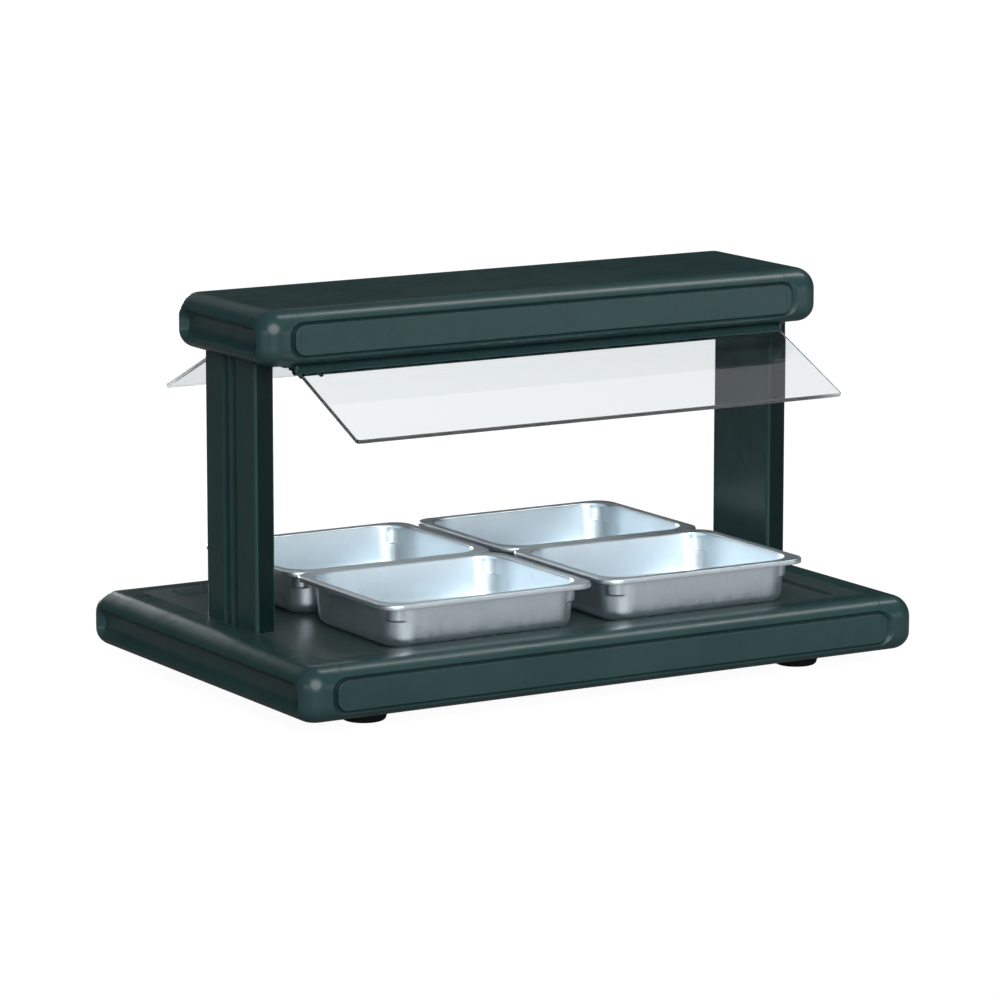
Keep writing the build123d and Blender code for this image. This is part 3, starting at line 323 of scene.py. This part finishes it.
def panSteel(p):
    # Drawn stainless: fine upright draw marks on the walls, round polishing drift on the flats
    f = Finish("panSteel", {"Metallic": 1.0})
    at = f.place()
    marks = f.noise(f.stretch(at, p["marks"]), 1.0, 3.0)
    broad = f.noise(at, *p["broad"])
    swirl = f.noise(f.stretch(at, p["swirl"]), 1.0, 5.0)
    tone = f.span(broad * 0.6 + marks * 0.4, *mid, *full)
    f.feed("Base Color", f.tint(tone, rgb(*p["dark"]), rgb(*p["light"])))
    f.feed("Roughness", f.span(swirl * 0.5 + marks * 0.5, *mid, *p["rough"]))
    f.bump(marks * 0.6 + swirl * 0.4, p["relief"], p["strength"])
    return f.owner


printWhite = rgb(0.72, 0.72, 0.7)
grainStrength = 0.6


def grained(name, g, mark=None):
    # Colour runs between two tones on a broad noise, roughness and relief on a stretched fine one; a mark is
    # printed in white where its share is 1
    f = Finish(name, {"Metallic": g.get("metallic", 0.0), "Specular IOR Level": g.get("shine", 0.5)})
    at = f.place()
    fine = f.noise(f.stretch(at, g.get("stretch", (1.0, 1.0, 1.0))), g["grain"], 3.0)
    broad = f.noise(at, g.get("drift", 18.0), 4.0)
    tone = f.span(broad * 0.6 + fine * 0.4, *mid, *full)
    colour = f.tint(tone, rgb(*g["dark"]), rgb(*g["light"]))
    f.feed("Base Color", f.tint(mark(f, at), colour, printWhite) if mark else colour)
    f.feed("Roughness", f.span(fine * 0.7 + broad * 0.3, *mid, g["smooth"], g["rough"]))
    f.bump(fine, g["relief"], grainStrength)
    return f.owner


grainSet = {
    "sheet_steel": {"metallic": 1.0, "dark": (0.42, 0.43, 0.43), "light": (0.54, 0.55, 0.55),
                    "smooth": 0.30, "rough": 0.46, "grain": 1.0, "stretch": (6.0, 700.0, 700.0),
                    "relief": 0.00002},
    "fastener_steel": {"metallic": 1.0, "dark": (0.36, 0.37, 0.38), "light": (0.5, 0.5, 0.5),
                       "smooth": 0.28, "rough": 0.45, "grain": 900.0, "relief": 0.00003},
    "reflector_metal": {"metallic": 1.0, "dark": (0.74, 0.74, 0.74), "light": (0.84, 0.84, 0.83),
                        "smooth": 0.10, "rough": 0.22, "grain": 1.0, "stretch": (5.0, 500.0, 500.0),
                        "relief": 0.00002},
    "element_steel": {"metallic": 1.0, "dark": (0.14, 0.12, 0.11), "light": (0.30, 0.27, 0.25),
                      "smooth": 0.42, "rough": 0.62, "grain": 600.0, "relief": 0.00004},
    "bushing_ceramic": {"dark": (0.74, 0.71, 0.64), "light": (0.84, 0.82, 0.76), "smooth": 0.5,
                        "rough": 0.7, "grain": 1500.0, "relief": 0.00003},
    "foot_rubber": {"dark": (0.005, 0.006, 0.006), "light": (0.012, 0.013, 0.013), "smooth": 0.62,
                    "rough": 0.8, "shine": 0.15, "grain": 1300.0, "relief": 0.00006},
    "blanket_rubber": {"dark": (0.28, 0.09, 0.045), "light": (0.38, 0.13, 0.065), "smooth": 0.55,
                       "rough": 0.7, "grain": 1.0, "stretch": (600.0, 600.0, 40.0), "relief": 0.00008},
    "insulation": {"dark": (0.62, 0.58, 0.46), "light": (0.8, 0.77, 0.65), "smooth": 0.9, "rough": 1.0,
                   "grain": 1.0, "stretch": (130.0, 420.0, 700.0), "relief": 0.0003},
    "conduit_plastic": {"dark": (0.24, 0.24, 0.24), "light": (0.32, 0.32, 0.32), "smooth": 0.45,
                        "rough": 0.6, "grain": 800.0, "relief": 0.00003},
    "inner_plastic": {"dark": (0.62, 0.6, 0.52), "light": (0.74, 0.72, 0.64), "smooth": 0.4, "rough": 0.55,
                      "grain": 900.0, "relief": 0.00003},
    "instrument_metal": {"metallic": 1.0, "dark": (0.42, 0.42, 0.41), "light": (0.54, 0.54, 0.52),
                         "smooth": 0.3, "rough": 0.48, "grain": 700.0, "relief": 0.00003},
    "capillary_copper": {"metallic": 1.0, "dark": (0.45, 0.22, 0.12), "light": (0.64, 0.35, 0.2),
                         "smooth": 0.25, "rough": 0.42, "grain": 500.0, "relief": 0.00002},
    "control_plastic": {"dark": (0.011, 0.011, 0.012), "light": (0.02, 0.02, 0.021), "smooth": 0.42,
                        "rough": 0.56, "grain": 1600.0, "relief": 0.00004},
    "rocker_plastic": {"dark": (0.014, 0.014, 0.015), "light": (0.024, 0.024, 0.025), "smooth": 0.24,
                       "rough": 0.36, "grain": 1100.0, "relief": 0.00002},
    "lamp_plastic": {"dark": (0.62, 0.20, 0.015), "light": (0.80, 0.32, 0.03), "smooth": 0.08,
                     "rough": 0.18, "grain": 400.0, "relief": 0.00003},
}
finishes = {"frame_paint": framePaint("framePaint", paintSet, frameCoat), "plate_metal": plateMetal(plateSet),
            "guard_glass": guardGlass(glassSet), "pan_steel": panSteel(panSteelSet)}
for slotName, grainFacts in grainSet.items():
    finishes[slotName] = grained(slotName, grainFacts)
for entry in frame["record"]["subparts"]:
    slots = nodes[entry["node"]].data.materials
    slots.clear()
    slots.append(finishes[entry["material_slot"]])


# Printed marks on the controls, measured from the middle of each control on its outer face
markSet = {"soft": 0.00006, "band": (0.0113, 0.0134), "step": math.radians(30.0),
           "sweep": math.radians(136.0), "sweepSoft": 0.01, "tick": (0.05, 0.07),
           "skirtTop": (-0.0060, -0.0058), "gripTop": (-0.0004, -0.0003), "line": 0.0006,
           "pointer": (0.003, 0.0112), "letter": 0.0052, "stroke": 0.0019, "strokeHalf": 0.0004,
           "ring": (0.0015, 0.0021), "rockerFace": (-0.004, -0.0038), "index": (0.0152, 0.0192),
           "indexHalf": 0.0005}


def within(f, wire, low, high):
    # 1 between low and high, falling to 0 over a soft edge
    soft = markSet["soft"]
    return f.span(wire, low - soft, low, *full) * f.span(wire, high, high + soft, 1.0, 0.0)


def fromMiddle(f, at, node):
    # Place less the middle of the node's box in x and z, and less its outer face in y
    low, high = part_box(node)
    x, y, z = f.axes(at)
    return x - (low.x + high.x) / 2, y - high.y, z - (low.z + high.z) / 2


def knobMark(f, at):
    # Ticks at equal steps of angle on the skirt, and a line along the top of the grip
    m = markSet
    x, y, z = fromMiddle(f, at, "thermostat_knob")
    angle = x.join("ARCTAN2", x, z)
    gap = angle.join("PINGPONG", angle * (1.0 / m["step"]), 0.5)
    swept = f.span(angle.size(), m["sweep"], m["sweep"] + m["sweepSoft"], 1.0, 0.0)
    ticks = f.span(gap, *m["tick"], 1.0, 0.0) * swept
    skirt = within(f, (x * x + z * z) ** 0.5, *m["band"]) * f.span(y, *m["skirtTop"], 1.0, 0.0)
    line = within(f, z, *m["pointer"]) * within(f, x.size(), -1.0, m["line"])
    return (ticks * skirt).most(line * f.span(y, *m["gripTop"], *full))


def rockerMark(f, at):
    # An upright stroke on the upper half and a ring on the lower half
    m = markSet
    x, y, z = fromMiddle(f, at, "power_rocker")
    upper, lower = z - m["letter"], z + m["letter"]
    stroke = within(f, upper.size(), -1.0, m["stroke"]) * within(f, x.size(), -1.0, m["strokeHalf"])
    ring = within(f, (x * x + lower * lower) ** 0.5, *m["ring"])
    return stroke.most(ring) * f.span(y, *m["rockerFace"], *full)


def panelMark(f, at):
    # One short line beside the knob, level with its middle
    m = markSet
    x, y, z = fromMiddle(f, at, "thermostat_knob")
    return within(f, x, *m["index"]) * within(f, z.size(), -1.0, m["indexHalf"])


for control, slotName, mark in (("thermostat_knob", "control_plastic", knobMark),
                                ("power_rocker", "rocker_plastic", rockerMark),
                                ("control_panel", "control_plastic", panelMark)):
    nodes[control].data.materials[0] = grained(control + "Print", grainSet[slotName], mark)
darkSteelSet = {"metallic": 1.0, "dark": (0.03, 0.032, 0.033), "light": (0.07, 0.072, 0.074), "smooth": 0.35,
                "rough": 0.5, "grain": 900.0, "relief": 0.00003}
darkSteel = grained("darkSteel", darkSteelSet)
for pins in ("front_hinge_pins", "rear_hinge_pins"):
    nodes[pins].data.materials[0] = darkSteel
postPaint = framePaint("postPaint", paintSet, postCoat)
for post in ("left_post", "right_post"):
    nodes[post].data.materials[0] = postPaint
print("finishes:", len(finishes))


# Surfaces, welded where points meet
weld = 1e-6


def quads(rows, columns, start):
    # Corner numbers of a grid of quads, row by row, closed round the columns
    i, j = np.meshgrid(np.arange(rows - 1), np.arange(columns), indexing="ij")
    k = (j + 1) % columns
    return start + np.stack([i * columns + j, i * columns + k, (i + 1) * columns + k, (i + 1) * columns + j],
                            -1).reshape(-1, 4)


def addPiece(name, grids, material, body, replaced):
    # Each grid is closed round its columns, and its first and last rows are capped
    points, faces, caps, start = [], [], [], 0
    for grid in grids:
        rows, columns = grid.shape[:2]
        points.append(grid.reshape(-1, 3))
        faces.append(quads(rows, columns, start))
        caps.append(list(range(start, start + columns))[::-1])
        caps.append(list(range(start + (rows - 1) * columns, start + rows * columns)))
        start += rows * columns
    mesh = bpy.data.meshes.new(name)
    mesh.from_pydata(np.concatenate(points).tolist(), [], np.concatenate(faces).tolist() + caps)
    work = bmesh.new()
    work.from_mesh(mesh)
    bmesh.ops.remove_doubles(work, verts=work.verts, dist=weld)
    bmesh.ops.recalc_face_normals(work, faces=work.faces)
    work.to_mesh(mesh)
    work.free()
    mesh.polygons.foreach_set("use_smooth", np.ones(len(mesh.polygons), bool))
    mesh.materials.append(material)
    piece = bpy.data.objects.new(name, mesh)
    scene.collection.objects.link(piece)
    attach(piece, body)
    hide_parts(replaced)
    return piece


def corners(halfX, halfY, radius, steps):
    # Rounded rectangle: each quarter turn is an arc about the corner's middle, the sides join arc to arc
    turn = np.linspace(0.0, np.pi / 2, steps)[None, :] + (np.arange(4) * np.pi / 2)[:, None]
    signX, signY = np.array([1, -1, -1, 1.0])[:, None], np.array([1, 1, -1, -1.0])[:, None]
    x = signX * (halfX - radius)[:, None, None] + radius[:, None, None] * np.cos(turn)
    y = signY * (halfY - radius)[:, None, None] + radius[:, None, None] * np.sin(turn)
    rows = len(radius)
    return x.reshape(rows, -1), y.reshape(rows, -1), np.broadcast_to(turn, (4, steps)).reshape(-1)


# Pans: drawn steel, with a turned-down rim and a stacking lug in each corner
panSet = {"half": (0.1625, 0.1325), "depth": 0.065, "rim": 0.013, "lip": 0.007, "sheet": 0.001,
          "rimSheet": 0.0012, "rimCorner": 0.028, "wallCorner": 0.042, "draft": math.radians(5.0),
          "round": 0.018, "mouthRound": 0.003, "mouthEase": 0.0003, "rimRound": 0.0022, "neck": 0.0016,
          "under": (0.0088, 0.004), "lipTurn": ((0.0012, 0.0003), (0.0, 0.0014)), "lipEnd": 0.0005,
          "crown": 0.0007, "crownMiddle": 0.0068, "crownHalf": 0.0075, "blendFrom": 0.0055,
          "blendOver": 0.0065, "leastRadius": 0.004, "leastFlat": 0.0005, "lugOut": 0.0034,
          "lugTop": (0.001, 0.004), "lugFoot": 0.0265, "lugFootSoft": 0.0018, "lugInset": 0.0105,
          "lugSpread": math.radians(15.0), "steps": 25,
          "counts": {"round": 12, "neck": 5, "foot": 7, "rim": 8, "flat": 7, "mouth": 7},
          "wallRows": np.array([0.0052, 0.009, 0.014, 0.019, 0.023, 0.0245, 0.0255, 0.0262, 0.0268, 0.0275,
                                0.0285, 0.031, 0.036, 0.041]),
          "floorRows": np.array([0.048, 0.075, 0.105, 0.1255])}


def arc(middle, radius, first, last, count):
    # Points on a circle in the section plane, from one angle to another
    a = np.radians(np.linspace(first, last, count))
    return np.stack([middle[0] + radius * np.cos(a), middle[1] + radius * np.sin(a)], -1)


def panSection(p):
    # Section as (inset from the rim's edge, height over the rim), up the outside and back down the inside
    lean, slope = math.tan(p["draft"]), math.degrees(p["draft"])
    wallRows, floorRows, counts = p["wallRows"], p["floorRows"], p["counts"]

    def wall(gap, radius, depth):
        middle = (p["rim"] + gap + (depth - radius) * lean + radius / math.cos(p["draft"]), radius - depth)
        turned = arc(middle, radius, 180.0 + slope, 270.0, counts["round"])
        flat = np.stack([floorRows, np.full(len(floorRows), -depth)], -1)
        side = np.stack([p["rim"] + gap + wallRows * lean, -wallRows], -1)
        return side, turned, flat

    outSide, outTurn, outFloor = wall(0.0, p["round"], p["depth"])
    inSide, inTurn, inFloor = wall(p["sheet"], p["round"] - p["sheet"], p["depth"] - p["sheet"])
    t, r, m, n = p["rimSheet"], p["rimRound"], p["mouthRound"], p["neck"]
    neck = arc((p["rim"] - n, -t - n), n, 90.0, slope, counts["neck"])
    under = np.array([[inset, -t] for inset in p["under"]])
    inLip = np.array([[t + x, -t - y] for x, y in p["lipTurn"]] + [[t, p["lipEnd"] - p["lip"]]])
    foot = arc((t / 2, t / 2 - p["lip"]), t / 2, 0.0, -180.0, counts["foot"])
    over = arc((r, -r), r, 180.0, 90.0, counts["rim"])
    across = np.linspace(r, p["rim"] + p["sheet"] - m, counts["flat"])[1:-1]
    flat = np.stack([across, np.zeros(len(across))], -1)
    mouth = arc((p["rim"] + p["sheet"] - m + p["mouthEase"], -m), m, 90.0, slope, counts["mouth"])
    outside = np.concatenate([outFloor[::-1], outTurn[::-1], outSide[::-1], neck[::-1], under, inLip, foot])
    inside = np.concatenate([over, flat, mouth, inSide, inTurn, inFloor])
    rise = np.clip(1.0 - ((inside[:, 0] - p["crownMiddle"]) / p["crownHalf"]) ** 2, 0.0, 1.0)
    inside[:, 1] += p["crown"] * (rise * (inside[:, 1] > -p["lip"]) - 1.0)
    return np.concatenate([outside, inside])


def panSurface(p, centre):
    # The section swept round the rim; from the mouth to the lug's foot the walls swell out at mid-corner as
    # exp(-(angle / spread)^4)
    inset, height = panSection(p).T
    step = np.clip((inset - p["blendFrom"]) / p["blendOver"], 0.0, 1.0)
    rimRadius = p["rimCorner"] + (p["wallCorner"] - p["rimCorner"]) * step * step - inset * (1 - step)
    wallRadius = p["wallCorner"] + p["rim"] - inset
    radius = np.where(inset < p["blendFrom"] + p["blendOver"], rimRadius, wallRadius)
    halfX, halfY = p["half"][0] - inset, p["half"][1] - inset
    radius = np.minimum(np.maximum(radius, p["leastRadius"]), halfY - p["leastFlat"])
    x, y, turn = corners(halfX, halfY, radius, p["steps"])
    depth, soft, (lugStart, lugOver) = -height, p["lugFootSoft"], p["lugTop"]
    hold = np.clip((depth - lugStart) / lugOver, 0, 1)
    hold = hold * np.clip((p["lugFoot"] + soft / 2 - depth) / soft, 0, 1)
    hold = np.where(inset > p["lugInset"], hold * hold * (3 - 2 * hold), 0.0)
    off = (turn % (np.pi / 2)) - np.pi / 4
    swell = p["lugOut"] * hold[:, None] * np.exp(-(off / p["lugSpread"]) ** 4)[None, :]
    z = np.broadcast_to(centre[2] + height[:, None], x.shape)
    return np.stack([centre[0] + x + swell * np.cos(turn), centre[1] + y + swell * np.sin(turn), z], -1)


for corner in ("front_left", "front_right", "rear_left", "rear_right"):
    low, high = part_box("pan_" + corner)
    middle = ((low.x + high.x) / 2, (low.y + high.y) / 2, high.z)
    addPiece("drawn_pan_" + corner, [panSurface(panSet, middle)], finishes["pan_steel"],
             "loose_pan_" + corner, "pan_" + corner)
print("pans drawn")


# Glass guards: sheets with ground edges and rounded corners
def glassSurface(g, side):
    # Rounded rectangle lofted through the sheet's thickness, drawn in at both faces by the ground edge
    rise, inset = g["rise"] * g["thick"], g["inset"] * g["edge"]
    halfY = (g["far"] - g["near"]) / 2
    radius = g["corner"] - inset * g["cornerShare"]
    x, v = corners(g["half"] - inset, halfY - inset, radius, g["arcPoints"])[:2]
    v = v + (g["far"] + g["near"]) / 2
    w = np.broadcast_to(rise[:, None], x.shape)
    c, s = math.cos(g["tilt"]), math.sin(g["tilt"])
    return np.stack([x, side * (g["pivot"][0] + v * c + w * s), g["pivot"][1] - v * s + w * c], -1)


for sideName, side in (("front", -1), ("rear", 1)):
    sheetPiece = addPiece(sideName + "_sheet", [glassSurface(glassSet, side)], finishes["guard_glass"],
                          sideName + "_guard", sideName + "_guard_glass")
    sheetFaces = sheetPiece.data.polygons
    sheetFaces.foreach_set("use_smooth", np.zeros(len(sheetFaces), bool))
print("glass set")

# Screws: flattened domes with a cross recess, seated where the plain ones of the frame sit
screwSet = {
    "clamp": {"head": 0.0035, "height": 0.005, "shank": 0.0018, "length": 0.0013, "x": 0.347, "v": 0.008,
              "w": -0.0045},
    "floor": {"head": 0.0038, "height": 0.0024, "shank": 0.002, "length": 0.012, "z": 0.022,
              "places": [(0.250, 0.281), (0.450, 0.150)]},
    "foot": {"head": 0.0055, "height": 0.004, "shank": 0.003, "length": 0.024, "z": 0.009,
             "places": [(0.3425, 0.219)]},
}
# Shares of a screw's shank and head; reach and arm are length and half width of the cross, with soft edges
screwShape = {"shank": (0.1, 0.75), "chamfer": 0.3, "seat": 0.95, "edge": 0.1, "wall": 0.45, "dome": 0.55,
              "round": 0.98, "domeEnds": (1.0, 0.02), "domeRows": 24, "turnSteps": 56, "reach": (0.64, 0.1),
              "arm": (0.19, 0.06), "sunk": 0.5, "cutFrom": 0.2}


def screwSurface(s, k, seat, axis):
    # Profile turned about the axis; the dome drops by half the head where a point lies in an arm of the cross
    r, h, q = s["head"], s["height"], s["shank"]
    dome = np.linspace(*k["domeEnds"], k["domeRows"])
    tip, cone = k["shank"]
    radius = np.concatenate([[q * tip, q * cone, q, q, r * k["seat"], r], r * dome])
    shank = [-s["length"], -s["length"], q * k["chamfer"] - s["length"], 0.0, 0.0, k["edge"] * h]
    height = np.concatenate([shank, h * (k["wall"] + k["dome"] * np.sqrt(1.0 - (k["round"] * dome) ** 2))])
    turn = np.linspace(0.0, 2.0 * np.pi, k["turnSteps"], endpoint=False)
    x, y = radius[:, None] * np.cos(turn), radius[:, None] * np.sin(turn)
    near, far = np.minimum(abs(x), abs(y)), np.maximum(abs(x), abs(y))
    (reach, reachSoft), (arm, armSoft) = k["reach"], k["arm"]
    sunk = np.clip((reach * r - far) / (reachSoft * r), 0, 1)
    sunk = sunk * np.clip((arm * r - near) / (armSoft * r), 0, 1)
    rise = height[:, None] - k["sunk"] * h * sunk * (height > k["cutFrom"] * h)[:, None]
    axis = np.array(axis)
    across = np.array([1.0, 0.0, 0.0])
    along = np.cross(axis, across)
    return np.array(seat) + x[..., None] * across + y[..., None] * along + rise[..., None] * axis


for sideName, side in (("front", -1), ("rear", 1)):
    c, s = math.cos(glassSet["tilt"]), math.sin(glassSet["tilt"])
    clamp = screwSet["clamp"]
    seatY = side * (glassSet["pivot"][0] + clamp["v"] * c + clamp["w"] * s)
    seatZ = glassSet["pivot"][1] - clamp["v"] * s + clamp["w"] * c
    heads = [screwSurface(clamp, screwShape, (x, seatY, seatZ), (0.0, -side * s, -c))
             for x in (-clamp["x"], clamp["x"])]
    addPiece(sideName + "_clamp_heads", heads, darkSteel, sideName + "_guard",
             sideName + "_clamp_screws")
for kind, replaced in (("floor", "floor_sheet_screws"), ("foot", "foot_screws")):
    under = screwSet[kind]
    heads = [screwSurface(under, screwShape, (i * x, j * y, under["z"]), (0.0, 0.0, -1.0))
             for x, y in under["places"] for i in (-1, 1) for j in (-1, 1)]
    addPiece(kind + "_screw_heads", heads, finishes["fastener_steel"], "warmer", replaced)
print("screws turned")
